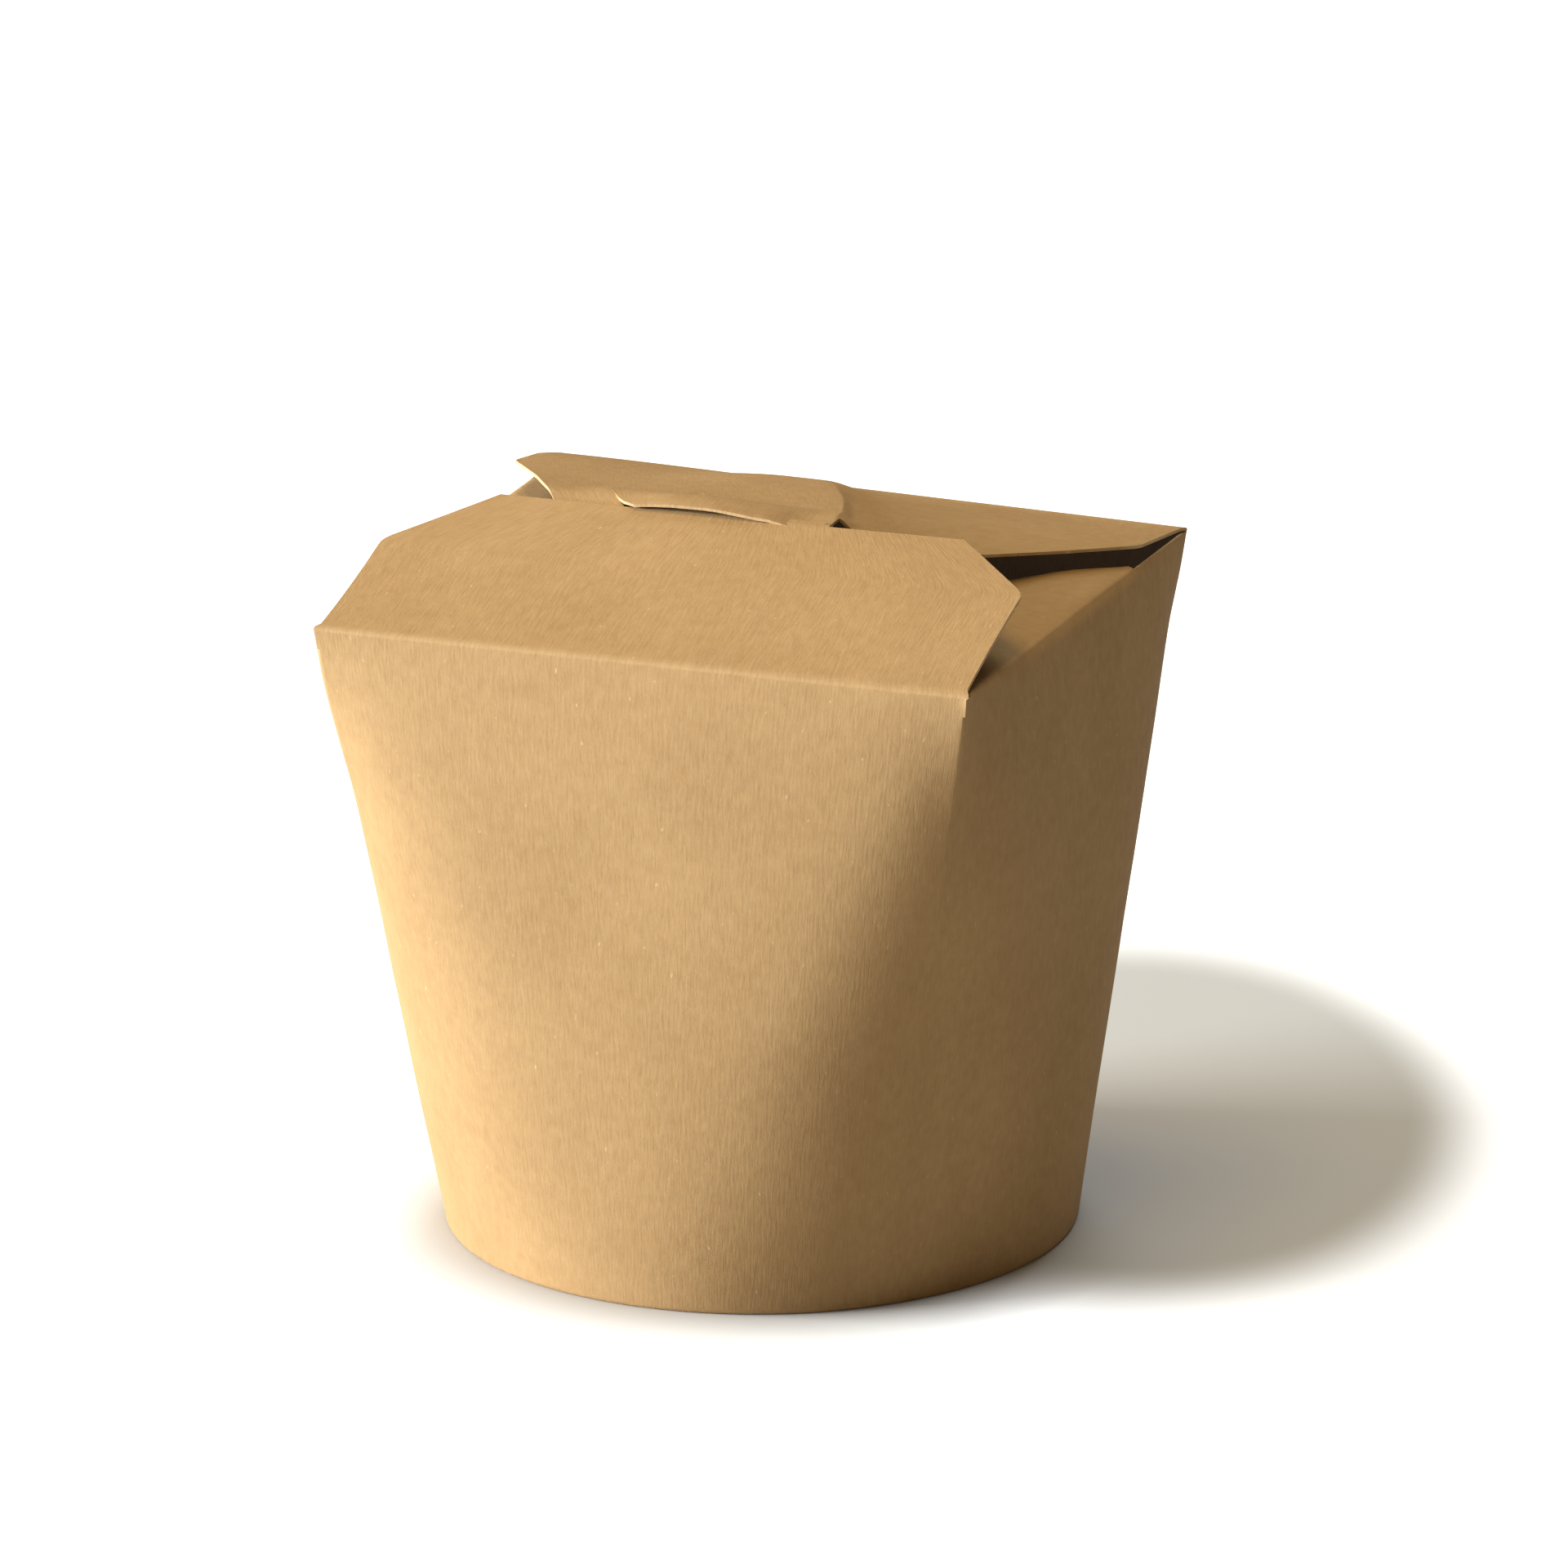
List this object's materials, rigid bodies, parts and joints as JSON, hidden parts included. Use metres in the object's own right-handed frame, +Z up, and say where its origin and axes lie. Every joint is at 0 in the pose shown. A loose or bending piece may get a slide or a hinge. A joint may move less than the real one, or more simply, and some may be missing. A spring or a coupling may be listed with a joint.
{
  "type": "noodle takeaway box",
  "caption": "Shut noodle box of plain brown board, with a round foot, a square top and interlocked lid flaps.",
  "frame": {"origin": "middle of the round foot, on the surface that the box stands on", "axes": "+Z up, -Y towards the front wall, whose lid flap lies on top; +X to the right seen from the front"},
  "size_m": [0.1004, 0.095, 0.1078],
  "materials": {
    "kraft_board": "matte",
    "base_board": "matte"
  },
  "bodies": {
    "root": {"carton": "kraft_board", "base_disc": "base_board"}
  },
  "joints": []
}
